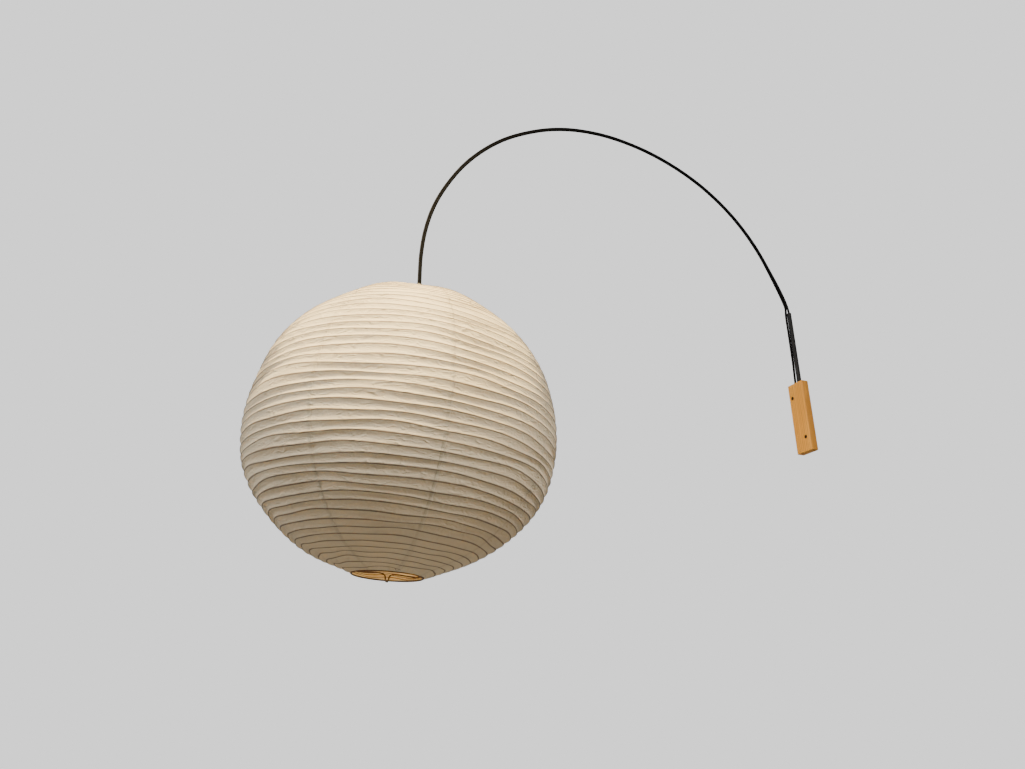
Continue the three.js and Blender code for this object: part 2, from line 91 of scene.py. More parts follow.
camera = bpy.data.objects.new("camera", bpy.data.cameras.new("camera"))
camera.data.lens = LENS
camera.location = VIEWPOINT
camera.rotation_euler = (math.radians(90 + TILT_UP), 0, math.radians(HEADING))
bpy.context.scene.collection.objects.link(camera)
bpy.context.scene.camera = camera
print("camera looks", TILT_UP, "degrees up through a", LENS, "mm lens")

# %% [markdown]
# ## Places to build in
#
# The lantern hangs a little out of plumb, so it is easiest to build upright, with its hanging
# point at zero, and then to lean it. The axis that it turns about says how far.

# %% The lantern's own space
MM = 0.001
TAU = math.tau
hang_point = Vector(joints["lantern_turn"]["pos_m"])
lantern_axis = Vector(joints["lantern_turn"]["axis"]).normalized()
lean = Vector((0, 0, 1)).rotation_difference(lantern_axis).to_matrix().to_4x4()
hung = Matrix.Translation(hang_point) @ lean
upright = Matrix.Identity(4)
block_low, block_high = (Vector(corner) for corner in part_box("wall_block"))
sleeve_low, sleeve_high = (Vector(corner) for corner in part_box("arm_sleeve"))
arm_axis = (sleeve_low + sleeve_high) / 2
print("lantern leans", round(math.degrees(lantern_axis.angle((0, 0, 1))), 2), "degrees")

# %% [markdown]
# ## Three ways to make a shape
#
# Nearly everything on a lamp is a turned piece, a bent wire or a sheet. So two helpers do most
# of the work: one turns a profile about an axis, as a lathe does, and one sweeps a round section
# along a route. A third smooths a few given points into that route.

# %% Shape helpers
SPLINE_STEPS = 24
FILLET_STEPS = 4
ON_AXIS, SMALLEST_FILLET = 1e-6, 2e-5
GRIP_BAND = 0.2 * MM
NO_ROUTE_STARTS_THIS_WAY = (0.31, 0.87, 0.38)


def add_mesh(name, points, faces, place=upright, sharp=35):
    """A smooth-shaded object whose edges over sharp degrees stay crisp."""
    mesh = bpy.data.meshes.new(name)
    mesh.from_pydata([tuple(place @ Vector(point)) for point in points], [], faces)
    shell = bmesh.new()
    shell.from_mesh(mesh)
    bmesh.ops.recalc_face_normals(shell, faces=shell.faces)
    shell.to_mesh(mesh)
    shell.free()
    mesh.shade_smooth()
    mesh.set_sharp_from_angle(angle=math.radians(sharp))
    piece = bpy.data.objects.new(name, mesh)
    bpy.context.scene.collection.objects.link(piece)
    return piece


def smooth_route(points, count, looped=False):
    """count points, evenly spaced, on a centripetal spline through the given ones."""
    points = np.array(points, float)
    if looped:
        points = np.vstack([points[-1], points, points[:2]])
    else:
        points = np.vstack([2 * points[0] - points[1], points, 2 * points[-1] - points[-2]])
    dense = []
    for p0, p1, p2, p3 in zip(points, points[1:], points[2:], points[3:]):
        knots = [0.0]
        for a, b in ((p0, p1), (p1, p2), (p2, p3)):
            knots.append(knots[-1] + max(math.sqrt(np.linalg.norm(b - a)), 1e-6))
        t0, t1, t2, t3 = knots
        for t in np.linspace(t1, t2, SPLINE_STEPS, endpoint=False):
            a1 = (t1 - t) / (t1 - t0) * p0 + (t - t0) / (t1 - t0) * p1
            a2 = (t2 - t) / (t2 - t1) * p1 + (t - t1) / (t2 - t1) * p2
            a3 = (t3 - t) / (t3 - t2) * p2 + (t - t2) / (t3 - t2) * p3
            b1 = (t2 - t) / (t2 - t0) * a1 + (t - t0) / (t2 - t0) * a2
            b2 = (t3 - t) / (t3 - t1) * a2 + (t - t1) / (t3 - t1) * a3
            dense.append((t2 - t) / (t2 - t1) * b1 + (t - t1) / (t2 - t1) * b2)
    dense.append(points[-2])
    dense = np.array(dense)
    length = np.concatenate([[0], np.cumsum(np.linalg.norm(np.diff(dense, axis=0), axis=1))])
    wanted = np.linspace(0, length[-1], count, endpoint=not looped)
    return np.stack([np.interp(wanted, length, dense[:, k]) for k in range(3)], axis=1)


def sweep(name, route, radius, sides=16, looped=False, place=upright):
    """A round bar along a route. radius is one value, or one for each point."""
    count = len(route)
    radius = np.broadcast_to(radius, count)
    ahead = np.roll(route, -1, axis=0) - np.roll(route, 1, axis=0)
    if not looped:
        ahead[0], ahead[-1] = route[1] - route[0], route[-1] - route[-2]
    ahead /= np.linalg.norm(ahead, axis=1)[:, None]
    side = np.cross(ahead[0], NO_ROUTE_STARTS_THIS_WAY)
    points, faces = [], []
    for i in range(count):
        side = side - ahead[i] * side.dot(ahead[i])
        side /= np.linalg.norm(side)
        across = np.cross(ahead[i], side)
        for k in range(sides):
            angle = TAU * k / sides
            spoke = math.cos(angle) * side + math.sin(angle) * across
            points.append(route[i] + radius[i] * spoke)
    for i in range(count if looped else count - 1):
        for k in range(sides):
            here, there, turn = i * sides, (i + 1) % count * sides, (k + 1) % sides
            faces.append((here + k, here + turn, there + turn, there + k))
    if not looped:
        faces.append(tuple(range(sides)))
        faces.append(tuple((count - 1) * sides + k for k in range(sides)))
    return add_mesh(name, points, faces, place)


def fillet(profile, radius):
    """The same closed profile with each corner off the axis rounded."""
    rounded = []
    for i, corner in enumerate(profile):
        before, after = Vector(profile[i - 1]), Vector(profile[(i + 1) % len(profile)])
        corner = Vector(corner)
        reach = min(radius, (before - corner).length * 0.4, (after - corner).length * 0.4)
        if corner.x < ON_AXIS or reach < SMALLEST_FILLET:
            rounded.append(tuple(corner))
            continue
        start = corner + (before - corner).normalized() * reach
        end = corner + (after - corner).normalized() * reach
        for k in range(FILLET_STEPS + 1):
            t = k / FILLET_STEPS
            rounded.append(tuple(start * (1 - t) ** 2 + corner * 2 * t * (1 - t) + end * t * t))
    return rounded


def turned(name, profile, place=upright, centre=(0, 0), sides=56, soft=0.5 * MM, grip=None):
    """A turned piece. profile is a closed list of (radius, height); grip is (count, depth)."""
    profile = fillet(profile, soft)
    points, rings, faces = [], [], []
    widest = max(radius for radius, _ in profile)
    for radius, height in profile:
        if radius < ON_AXIS:
            rings.append([len(points)] * sides)
            points.append((centre[0], centre[1], height))
            continue
        rings.append(list(range(len(points), len(points) + sides)))
        for k in range(sides):
            angle = TAU * k / sides
            cut = 0
            if grip and radius > widest - GRIP_BAND:
                cut = grip[1] * (0.5 - 0.5 * math.cos(grip[0] * angle))
            points.append((centre[0] + (radius - cut) * math.cos(angle),
                           centre[1] + (radius - cut) * math.sin(angle), height))
    for low, high in zip(rings, rings[1:] + rings[:1]):
        for k in range(sides):
            turn = (k + 1) % sides
            face = list(dict.fromkeys((low[k], low[turn], high[turn], high[k])))
            if len(face) > 2:
                faces.append(face)
    return add_mesh(name, points, faces, place)


# %% [markdown]
# ## Two shared surface effects
#
# Handled plastic, steel and paint are never one even tone: they have soft cloudy patches, and a
# fine tooth that scatters the light. Those two effects are wanted on nearly every finish, so they
# are shader node groups, built once, with their strengths as inputs.

# %% Node group helpers
def group_socket(tree, name, kind, way="INPUT", value=None):
    socket = tree.interface.new_socket(name=name, in_out=way, socket_type=kind)
    if value is not None:
        socket.default_value = value


def wire(tree, output, to):
    tree.links.new(output, to)


def math_node(tree, operation, first, second=None, third=None):
    node = tree.nodes.new("ShaderNodeMath")
    node.operation = operation
    for socket, value in zip(node.inputs, (first, second, third)):
        if isinstance(value, bpy.types.NodeSocket):
            tree.links.new(value, socket)
        elif value is not None:
            socket.default_value = value
    return node.outputs[0]


def noise_node(tree, where, scale, detail=4.0, roughness=0.55, distortion=0.0):
    node = tree.nodes.new("ShaderNodeTexNoise")
    node.inputs["Detail"].default_value = detail
    node.inputs["Roughness"].default_value = roughness
    node.inputs["Distortion"].default_value = distortion
    if isinstance(scale, bpy.types.NodeSocket):
        tree.links.new(scale, node.inputs["Scale"])
    else:
        node.inputs["Scale"].default_value = scale
    tree.links.new(where, node.inputs["Vector"])
    return node.outputs["Fac"]


def mix_colour(tree, factor, first, second):
    node = tree.nodes.new("ShaderNodeMix")
    node.data_type = "RGBA"
    colour_inputs = (node.inputs[0], node.inputs[6], node.inputs[7])
    for socket, value in zip(colour_inputs, (factor, first, second)):
        if isinstance(value, bpy.types.NodeSocket):
            tree.links.new(value, socket)
        else:
            socket.default_value = value
    return node.outputs[2]


def ramp(tree, value, low, high, to_low=0.0, to_high=1.0):
    node = tree.nodes.new("ShaderNodeMapRange")
    node.interpolation_type = "SMOOTHSTEP"
    limits = {"From Min": low, "From Max": high, "To Min": to_low, "To Max": to_high}
    for name, number in limits.items():
        node.inputs[name].default_value = number
    tree.links.new(value, node.inputs["Value"])
    return node.outputs["Result"]


def stretched(tree, where, scale, tilt=(0, 0, 0)):
    """Coordinates in which noise comes out stretched, and tilted if need be."""
    node = tree.nodes.new("ShaderNodeMapping")
    node.inputs["Rotation"].default_value = tilt
    node.inputs["Scale"].default_value = scale
    wire(tree, where, node.inputs["Vector"])
    return node.outputs[0]


# %% Cloudy patches and fine tooth
def cloudy_group():
    tree = bpy.data.node_groups.new("Cloudy surface", "ShaderNodeTree")
    group_socket(tree, "Colour", "NodeSocketColor")
    group_socket(tree, "Patch colour", "NodeSocketColor")
    group_socket(tree, "Patch amount", "NodeSocketFloat", value=0.4)
    group_socket(tree, "Patch scale", "NodeSocketFloat", value=40.0)
    group_socket(tree, "Roughness", "NodeSocketFloat", value=0.5)
    group_socket(tree, "Roughness spread", "NodeSocketFloat", value=0.1)
    group_socket(tree, "Colour", "NodeSocketColor", "OUTPUT")
    group_socket(tree, "Roughness", "NodeSocketFloat", "OUTPUT")
    inside, outside = tree.nodes.new("NodeGroupInput"), tree.nodes.new("NodeGroupOutput")
    where = tree.nodes.new("ShaderNodeTexCoord").outputs["Object"]
    cloud = ramp(tree, noise_node(tree, where, inside.outputs["Patch scale"]), 0.35, 0.7)
    amount = math_node(tree, "MULTIPLY", cloud, inside.outputs["Patch amount"])
    colour = mix_colour(tree, amount, inside.outputs["Colour"], inside.outputs["Patch colour"])
    smear = noise_node(tree, where, 160.0, detail=3.0, distortion=0.6)
    swing = math_node(tree, "SUBTRACT", smear, 0.5)
    rough = math_node(tree, "MULTIPLY_ADD", swing, inside.outputs["Roughness spread"],
                      inside.outputs["Roughness"])
    wire(tree, colour, outside.inputs["Colour"])
    wire(tree, rough, outside.inputs["Roughness"])
    return tree


def tooth_group():
    tree = bpy.data.node_groups.new("Fine tooth", "ShaderNodeTree")
    group_socket(tree, "Grain scale", "NodeSocketFloat", value=900.0)
    group_socket(tree, "Scratch amount", "NodeSocketFloat", value=0.2)
    group_socket(tree, "Height", "NodeSocketFloat", "OUTPUT")
    inside, outside = tree.nodes.new("NodeGroupInput"), tree.nodes.new("NodeGroupOutput")
    where = tree.nodes.new("ShaderNodeTexCoord").outputs["Object"]
    grain = noise_node(tree, where, inside.outputs["Grain scale"], detail=2.0)
    long_marks = stretched(tree, where, (1.0, 0.35, 0.05))
    scratch = ramp(tree, noise_node(tree, long_marks, 1400.0, detail=1.0), 0.6, 0.72)
    marks = math_node(tree, "MULTIPLY", scratch, inside.outputs["Scratch amount"])
    wire(tree, math_node(tree, "SUBTRACT", grain, marks), outside.inputs["Height"])
    return tree


CLOUDY, TOOTH = cloudy_group(), tooth_group()
print("shader groups:", CLOUDY.name, "and", TOOTH.name)

# %% [markdown]
# ## The plain finishes
#
# Most small pieces differ only in colour, gloss and how fine their tooth is. One function sets up
# the shader and places both groups in it, and each finish below is then a short line that a
# maker would recognise.

# %% Finish function
def new_material(name):
    material = bpy.data.materials.new(name)
    material.use_nodes = True
    tree = material.node_tree
    shader = tree.nodes["Principled BSDF"]
    return material, tree, shader


def add_bump(tree, shader, height, depth):
    bump = tree.nodes.new("ShaderNodeBump")
    bump.inputs["Strength"].default_value = 1.0
    bump.inputs["Distance"].default_value = depth
    wire(tree, height, bump.inputs["Height"])
    wire(tree, bump.outputs["Normal"], shader.inputs["Normal"])
    return bump


def group_node(tree, group, values):
    node = tree.nodes.new("ShaderNodeGroup")
    node.node_tree = group
    for name, value in values.items():
        node.inputs[name].default_value = value
    return node


PATCH_AMOUNT, GLOSS_SPREAD = 0.5, 0.16


def finish(name, colour, patch, roughness, metallic=0.0, patch_scale=45.0, grain=900.0,
           scratch=0.2, depth=0.02 * MM, **sockets):
    """A finish with cloudy patches of a second colour, an uneven gloss and a fine tooth."""
    material, tree, shader = new_material(name)
    shader.inputs["Metallic"].default_value = metallic
    for socket, value in sockets.items():
        shader.inputs[socket.replace("_", " ")].default_value = value
    cloudy = group_node(tree, CLOUDY, {
        "Colour": (*colour, 1), "Patch colour": (*patch, 1), "Patch amount": PATCH_AMOUNT,
        "Patch scale": patch_scale, "Roughness": roughness, "Roughness spread": GLOSS_SPREAD,
    })
    tooth = group_node(tree, TOOTH, {"Grain scale": grain, "Scratch amount": scratch})
    wire(tree, cloudy.outputs["Colour"], shader.inputs["Base Color"])
    wire(tree, cloudy.outputs["Roughness"], shader.inputs["Roughness"])
    add_bump(tree, shader, tooth.outputs["Height"], depth)
    return material


# %% The finishes
FINISHES = {
    "rod": finish("Black glass fibre", (0.004, 0.004, 0.0045), (0.008, 0.008, 0.0085), 0.62,
                  scratch=0.5, depth=0.008 * MM, Specular_IOR_Level=0.1),
    "flex": finish("Black flex", (0.003, 0.003, 0.003), (0.006, 0.006, 0.0055), 0.75,
                   depth=0.01 * MM, Specular_IOR_Level=0.06),
    "sleeve_steel": finish("Dark grey steel", (0.010, 0.011, 0.013), (0.020, 0.021, 0.024), 0.6,
                           scratch=0.6, Specular_IOR_Level=0.2),
    "bronzed_screw": finish("Bronzed steel", (0.055, 0.035, 0.02), (0.14, 0.09, 0.05), 0.38,
                            metallic=0.85, patch_scale=400.0),
    "zinc_screw": finish("Zinc plate", (0.55, 0.56, 0.58), (0.42, 0.43, 0.42), 0.32,
                         metallic=0.95, patch_scale=300.0),
    "brass": finish("Plain brass", (0.60, 0.42, 0.17), (0.42, 0.27, 0.10), 0.33,
                    metallic=0.95, patch_scale=250.0),
    "white_plastic": finish("White moulding", (0.74, 0.73, 0.69), (0.66, 0.64, 0.58), 0.5),
    "black_plastic": finish("Black moulding", (0.013, 0.013, 0.014), (0.024, 0.024, 0.025), 0.42,
                            grain=1600.0, depth=0.03 * MM),
    "ceramic": finish("Steatite", (0.76, 0.73, 0.66), (0.70, 0.66, 0.58), 0.28),
    "bulb_cap": finish("Pressed aluminium", (0.62, 0.62, 0.63), (0.5, 0.5, 0.5), 0.34,
                       metallic=0.95, patch_scale=200.0),
    "bulb_plastic": finish("Bulb moulding", (0.78, 0.77, 0.73), (0.72, 0.70, 0.65), 0.45),
    "bulb_diffuser": finish("Frosted diffuser", (0.86, 0.82, 0.72), (0.82, 0.77, 0.66), 0.42,
                            Emission_Color=(1.0, 0.78, 0.5, 1), Emission_Strength=60.0),
    "wire": finish("Annealed wire", (0.10, 0.062, 0.035), (0.16, 0.10, 0.055), 0.5,
                   metallic=0.4, patch_scale=220.0),
    "rib": finish("Split bamboo", (0.36, 0.24, 0.12), (0.24, 0.15, 0.07), 0.6,
                  patch_scale=120.0, scratch=0.6),
}
print(len(FINISHES), "plain finishes")


def settle(piece, body, slot, *nodes):
    """Gives a piece the finish of its slot and its body, and hides the model's nodes that it stands
    for.
    """
    piece.data.materials.clear()
    piece.data.materials.append(FINISHES[slot])
    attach(piece, body)
    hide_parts(*nodes)
    return piece


# %% [markdown]
# ## The paper
#
# Mulberry paper is thin, warm and translucent: the top of the shade glows where daylight falls
# on it, and the light that gets in comes out again lower down. So the shader mixes an ordinary
# matt surface with a translucent one. Along each rib the paper is darker: partly where the rib is
# glued behind it, partly painted shade in the crease at the rib. It is darker at each upright
# seam too, where two sheets overlap. The mesh carries both distances.

# %% Paper material
PAPER_LIGHT, PAPER_DEEP = (0.87, 0.765, 0.54, 1), (0.83, 0.715, 0.485, 1)
# The rib line's colour is partly the rib's glue and partly painted shade in the crease at the rib.
RIB_GLUE_AND_SHADE, SEAM_SHADE = (0.12, 0.065, 0.03, 1), (0.42, 0.30, 0.16, 1)
GLOW = (0.92, 0.74, 0.50, 1)
TRANSLUCENCE = 0.2
FIBRE_STRETCH, FIBRE_TILT = (1.0, 1.0, 2.6), (math.radians(-24), math.radians(-10), 0)
RIB_REACH_MM, RIB_DARKNESS = (0.6, 2.0), 0.86
SEAM_REACH_MM, SEAM_DARKNESS, SEAM_DOUBLING = (3.0, 4.6), 0.09, 4.0
CREASE_SCALE, CREASE_DEPTH = 64.0, 2.9 * MM


def mesh_value(tree, name):
    node = tree.nodes.new("ShaderNodeAttribute")
    node.attribute_name = name
    return node.outputs["Fac"]


def paper_material():
    material, tree, shader = new_material("Mulberry paper")
    where = tree.nodes.new("ShaderNodeTexCoord").outputs["Object"]
    flat = stretched(tree, where, FIBRE_STRETCH, FIBRE_TILT)
    cloud = noise_node(tree, where, 9.0, detail=5.0, roughness=0.6)
    fibre = ramp(tree, noise_node(tree, flat, 190.0, detail=6.0, distortion=2.4), 0.56, 0.68)
    tone = mix_colour(tree, ramp(tree, cloud, 0.3, 0.75), PAPER_LIGHT, PAPER_DEEP)
    tone = mix_colour(tree, math_node(tree, "MULTIPLY", fibre, 0.22), tone, PAPER_DEEP)
    # Darker line along each rib: the glue line, and painted shade in the crease at the rib.
    rib_glue_and_shade = ramp(tree, mesh_value(tree, "rib_mm"), *RIB_REACH_MM, RIB_DARKNESS, 0.0)
    seam_band = ramp(tree, mesh_value(tree, "seam_mm"), *SEAM_REACH_MM, SEAM_DARKNESS, 0.0)
    tone = mix_colour(tree, rib_glue_and_shade, tone, RIB_GLUE_AND_SHADE)
    tone = mix_colour(tree, seam_band, tone, SEAM_SHADE)
    wire(tree, tone, shader.inputs["Base Color"])
    shader.inputs["Roughness"].default_value = 0.82
    shader.inputs["Sheen Weight"].default_value = 0.12
    shader.inputs["Sheen Roughness"].default_value = 0.6
    creases = noise_node(tree, flat, CREASE_SCALE, detail=2.0, roughness=0.5, distortion=0.6)
    creases.node.noise_type = "RIDGED_MULTIFRACTAL"
    height = math_node(tree, "MULTIPLY_ADD", fibre, 0.12, creases)
    bump = add_bump(tree, shader, height, CREASE_DEPTH)
    through = tree.nodes.new("ShaderNodeBsdfTranslucent")
    glow = mix_colour(tree, 0.6, tone, GLOW)
    doubled = math_node(tree, "MULTIPLY", seam_band, SEAM_DOUBLING)
    wire(tree, mix_colour(tree, doubled, glow, SEAM_SHADE), through.inputs["Color"])
    wire(tree, bump.outputs["Normal"], through.inputs["Normal"])
    both = tree.nodes.new("ShaderNodeMixShader")
    both.inputs[0].default_value = TRANSLUCENCE
    wire(tree, shader.outputs[0], both.inputs[1])
    wire(tree, through.outputs[0], both.inputs[2])
    wire(tree, both.outputs[0], tree.nodes["Material Output"].inputs["Surface"])
    return material


FINISHES["paper"] = paper_material()

# %% [markdown]
# ## The wood
#
# The block is a plain offcut of softwood under clear oil. Its grain runs up its length: growth
# lines a few millimetres apart that wander together, fine pores between them, and a slow change
# from honey to orange. Stretching the noise along Z makes all three from the same few nodes.
# The slot keeps its packed name, oak, although the grain is a softwood's.

# %% Oiled wood
WOOD_HONEY, WOOD_ORANGE = (0.88, 0.42, 0.07, 1), (0.78, 0.35, 0.05, 1)
WOOD_LINE, WOOD_PORE = (0.36, 0.15, 0.035, 1), (0.22, 0.09, 0.025, 1)


def wood_material():
    material, tree, shader = new_material("Oiled softwood")
    shader.inputs["Specular IOR Level"].default_value = 0.25
    where = tree.nodes.new("ShaderNodeTexCoord").outputs["Object"]
    slow = noise_node(tree, stretched(tree, where, (1, 1, 0.22)), 30.0, detail=3.0)
    rings = tree.nodes.new("ShaderNodeTexWave")
    rings.bands_direction = "X"
    wave = {"Scale": 55.0, "Distortion": 5.0, "Detail": 3.0, "Detail Scale": 1.4}
    for name, number in wave.items():
        rings.inputs[name].default_value = number
    wire(tree, stretched(tree, where, (1, 0.7, 0.09)), rings.inputs["Vector"])
    line = ramp(tree, rings.outputs["Fac"], 0.55, 0.95)
    pore_noise = noise_node(tree, stretched(tree, where, (1, 1, 0.04)), 900.0, detail=3.0)
    pores = ramp(tree, pore_noise, 0.58, 0.7)
    tone = mix_colour(tree, ramp(tree, slow, 0.3, 0.7), WOOD_HONEY, WOOD_ORANGE)
    tone = mix_colour(tree, math_node(tree, "MULTIPLY", line, 0.45), tone, WOOD_LINE)
    tone = mix_colour(tree, math_node(tree, "MULTIPLY", pores, 0.35), tone, WOOD_PORE)
    wire(tree, tone, shader.inputs["Base Color"])
    wire(tree, math_node(tree, "MULTIPLY_ADD", line, 0.14, 0.42), shader.inputs["Roughness"])
    height = math_node(tree, "MULTIPLY_ADD", pores, -0.6, math_node(tree, "MULTIPLY", line, -0.5))
    add_bump(tree, shader, height, 0.12 * MM)
    return material


FINISHES["oak"] = wood_material()

# %% [markdown]
# ## How the ribs run
#
# One long rib winds from rim to rim, and hand work never spaces it evenly: turns crowd together,
# drift apart and kink. A few sine waves with whole numbers of cycles round the lantern give that
# drift, and they meet themselves after a full turn, so the paper has no jump in it.

# %% Rib and paper shape
OUTLINE = [
    (68.7, -223.5), (173, -180), (244.5, -120), (284, -60), (300, 0), (303, 60),
    (293.5, 120), (274, 180), (235, 240), (193.5, 279), (140, 317), (80.2, 341),
]
MIDDLE_DROP = 0.366
TURNS = 46
SCALLOP, SCALLOP_CHANGE = 3.3 * MM, 0.28
# How far the rib drifts and how far it kinks, in turns.
DRIFT, KINK = 0.085, 0.045
# The paper is tighter near the rims: shares of the way up, and how much depth is left there.
TAUT_AT, TAUT = [0, 0.16, 0.4, 0.85, 1], [0.3, 0.5, 1, 1, 0.7]
# Three families of folds: how many go round, how far they tilt and where they start.
FOLDS = ((38, 2.2, 0.4), (55, -3.1, 1.9), (23, 4.3, 3.1))
FOLD_DEPTH, FOLD_WANDER, OFF_ROUND = 1.7 * MM, 1.7, 1.1 * MM

outline = smooth_route([(radius * MM, 0, height * MM - MIDDLE_DROP)
                        for radius, height in OUTLINE], 900)
outline_slope = np.gradient(outline, axis=0)
outline_slope /= np.linalg.norm(outline_slope, axis=1)[:, None]
outline_length = np.linalg.norm(np.diff(outline, axis=0), axis=1).sum()
rib_pitch = outline_length / TURNS
print("paper runs", round(outline_length, 3), "m from rim to rim, a rib every",
      round(rib_pitch / MM, 1), "mm")


def waves(seed, count, around, along):
    """A smooth wandering value of the angle and the turn, mostly within -1.5 to 1.5."""
    source = np.random.default_rng(seed)
    parts = [(source.integers(1, around + 1), source.uniform(-along, along), source.uniform(0, TAU))
             for _ in range(count)]

    def value(angle, turn):
        total = sum(np.sin(k * angle + c * turn + shift) for k, c, shift in parts)
        return total / math.sqrt(count / 2)
    return value


rib_drift = waves(seed=11, count=9, around=6, along=1.9)
rib_kink = waves(seed=23, count=8, around=15, along=2.6)
out_of_round = waves(seed=5, count=6, around=9, along=0.35)
hollow_change = waves(seed=31, count=9, around=8, along=2.2)
fold_patches = waves(seed=47, count=8, around=7, along=1.3)


def on_outline(share, values):
    """A value given for each point of the outline, read at a share of its length."""
    return np.interp(share * (len(outline) - 1), np.arange(len(outline)), values)


def on_paper(turn, angle, inset=0.0):
    """The paper's place in metres at an angle and at a turn of the rib, 0 at the bottom rim."""
    free = np.clip(np.minimum(turn, TURNS - turn), 0, 1)
    strand = turn - angle / TAU
    drift = DRIFT * rib_drift(angle, strand) + KINK * rib_kink(angle, strand)
    shift = (0.5 - angle / TAU + drift) * free
    along = np.clip((turn + shift) / TURNS, 0, 1)
    radius, height = on_outline(along, outline[:, 0]), on_outline(along, outline[:, 2])
    inward = -on_outline(along, outline_slope[:, 2]), on_outline(along, outline_slope[:, 0])
    between = turn - np.floor(turn)
    hollow = 4 * between * (1 - between)
    taut = np.interp(turn / TURNS, TAUT_AT, TAUT)
    depth = SCALLOP * taut * hollow * (1 + SCALLOP_CHANGE * hollow_change(angle, strand))
    folds = 0.0
    for number, (around, tilt, begin) in enumerate(FOLDS):
        phase = around * angle / 2 + tilt * between + begin + FOLD_WANDER * strand
        fold = 1 - np.abs(np.sin(phase))
        folds = folds + fold ** 3 / (number + 1.5)
    patch = np.clip(fold_patches(angle, strand) * 0.6 + 0.35, 0, 1)
    depth = depth + FOLD_DEPTH * folds * patch * hollow * taut
    depth = depth - OFF_ROUND * out_of_round(angle, strand) * free + inset
    radius = radius + inward[0] * depth
    height = height + inward[1] * depth
    return np.stack([radius * np.cos(angle), radius * np.sin(angle), height], axis=-1)


# %% [markdown]
# ## The gores
#
# The shade is pasted up from eight boat-shaped sheets, each glued over the edge of the next by
# a few millimetres. Each sheet is its own mesh: its rows follow the rib, so that every ridge is a
# real edge loop, and its last columns lie over the neighbour. Solidify gives it the thickness of
# paper.

# %% Paper gores
GORES = 8
ROWS_PER_RIB, COLUMNS = 6, 56
OVERLAP, PAPER_THICKNESS = 6.5 * MM, 0.22 * MM
SEAM_JOG, SEAM_MIDDLE_MM = 0.9 * MM, 3
FAR_FROM_RIB_MM = 9.0


def gore(number):
    turn = np.arange(TURNS * ROWS_PER_RIB + 1)[:, None] / ROWS_PER_RIB
    start = TAU * number / GORES
    seam_jog = SEAM_JOG * np.sin(turn * 2.4 + number) * np.sin(turn * 0.9)
    near_radius = on_outline(turn / TURNS, outline[:, 0])
    across = np.concatenate([np.linspace(0, 1, COLUMNS), [1, 1]])[None, :]
    over = np.concatenate([np.zeros(COLUMNS - 1), [0.15, 0.6, 1]])[None, :]
    angle = start + TAU / GORES * across + over * OVERLAP / near_radius
    angle = angle + seam_jog / near_radius * np.clip(across * 2 - 1, 0, 1)
    lift = -1.2 * PAPER_THICKNESS * np.clip(over * 2, 0, 1)
    points = on_paper(np.broadcast_to(turn, angle.shape), angle, lift)
    rows, columns = angle.shape
    corners = [r * columns + c for r in range(rows - 1) for c in range(columns - 1)]
    faces = [(at, at + 1, at + columns + 1, at + columns) for at in corners]
    piece = add_mesh(f"washi_gore_{number + 1}", points.reshape(-1, 3), faces, hung, sharp=180)
    between = turn - np.floor(turn)
    rib_mm = np.minimum(between, 1 - between) * rib_pitch / MM
    rib_mm = np.where((turn < 0.5) | (turn > TURNS - 0.5), FAR_FROM_RIB_MM, rib_mm)
    from_start = (angle - start) * near_radius / MM
    from_end = (start + TAU / GORES - angle) * near_radius / MM
    seam_mm = np.minimum(np.abs(from_start - SEAM_MIDDLE_MM), np.abs(from_end + SEAM_MIDDLE_MM))
    for name, values in (("rib_mm", rib_mm), ("seam_mm", seam_mm)):
        layer = piece.data.attributes.new(name, "FLOAT", "POINT")
        values = np.broadcast_to(values, angle.shape).reshape(-1).astype(float)
        layer.data.foreach_set("value", values)
    thick = piece.modifiers.new("Paper thickness", "SOLIDIFY")
    thick.thickness = PAPER_THICKNESS
    return settle(piece, "lantern", "paper", f"paper_gore_{number + 1}")


gores = [gore(number) for number in range(GORES)]
print(len(gores), "gores,", len(gores[0].data.polygons), "faces each")

# %% [markdown]
# ## The rib and the rims
#
# The rib is a thin strip wound inside the paper, following exactly the line that the paper's
# ridges follow. Both rims are heavier wire rings.

# %% Rib and rims
RIB_RADIUS, GLUE = 0.8 * MM, 0.1 * MM
STEPS_PER_TURN = 80
RIM_WIRE, RIM_STEPS = 1.5 * MM, 120

rib_count = np.arange((TURNS - 1) * STEPS_PER_TURN + 1)
rib_angle = rib_count / STEPS_PER_TURN * TAU
whole = np.floor(rib_angle / TAU + 1e-9)
rib_route = on_paper(TURNS - 1 - whole, rib_angle - whole * TAU,
                     inset=RIB_RADIUS + PAPER_THICKNESS + GLUE)
rib = sweep("rib_wound", rib_route, RIB_RADIUS, sides=6, place=hung)
settle(rib, "lantern", "rib", "rib_spiral")


def rim(name, node, radius, height):
    angle = np.linspace(0, TAU, RIM_STEPS, endpoint=False)
    ring = np.stack([radius * np.cos(angle), radius * np.sin(angle), np.full_like(angle, height)],
                    axis=1)
    ring = sweep(name, ring, RIM_WIRE, sides=12, looped=True, place=hung)
    return settle(ring, "lantern", "wire", node)


top_rim_z = OUTLINE[-1][1] * MM - MIDDLE_DROP
bottom_rim_z = OUTLINE[0][1] * MM - MIDDLE_DROP
rim("rim_upper", "rim_ring_top", 78 * MM, top_rim_z)
rim("rim_lower", "rim_ring_bottom", 66.5 * MM, bottom_rim_z)
print("rib wire is", round(np.linalg.norm(np.diff(rib_route, axis=0), axis=1).sum(), 1), "m long")

# %% [markdown]
# ## The spreader
#
# One bent wire keeps the lantern open: a loop sits on the lampholder, shoulders push up under
# the top rim, and a bar pushes down on the bottom rim. Its middle dips in a small nib that shows
# in the mouth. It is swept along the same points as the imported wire, with more steps and sides.

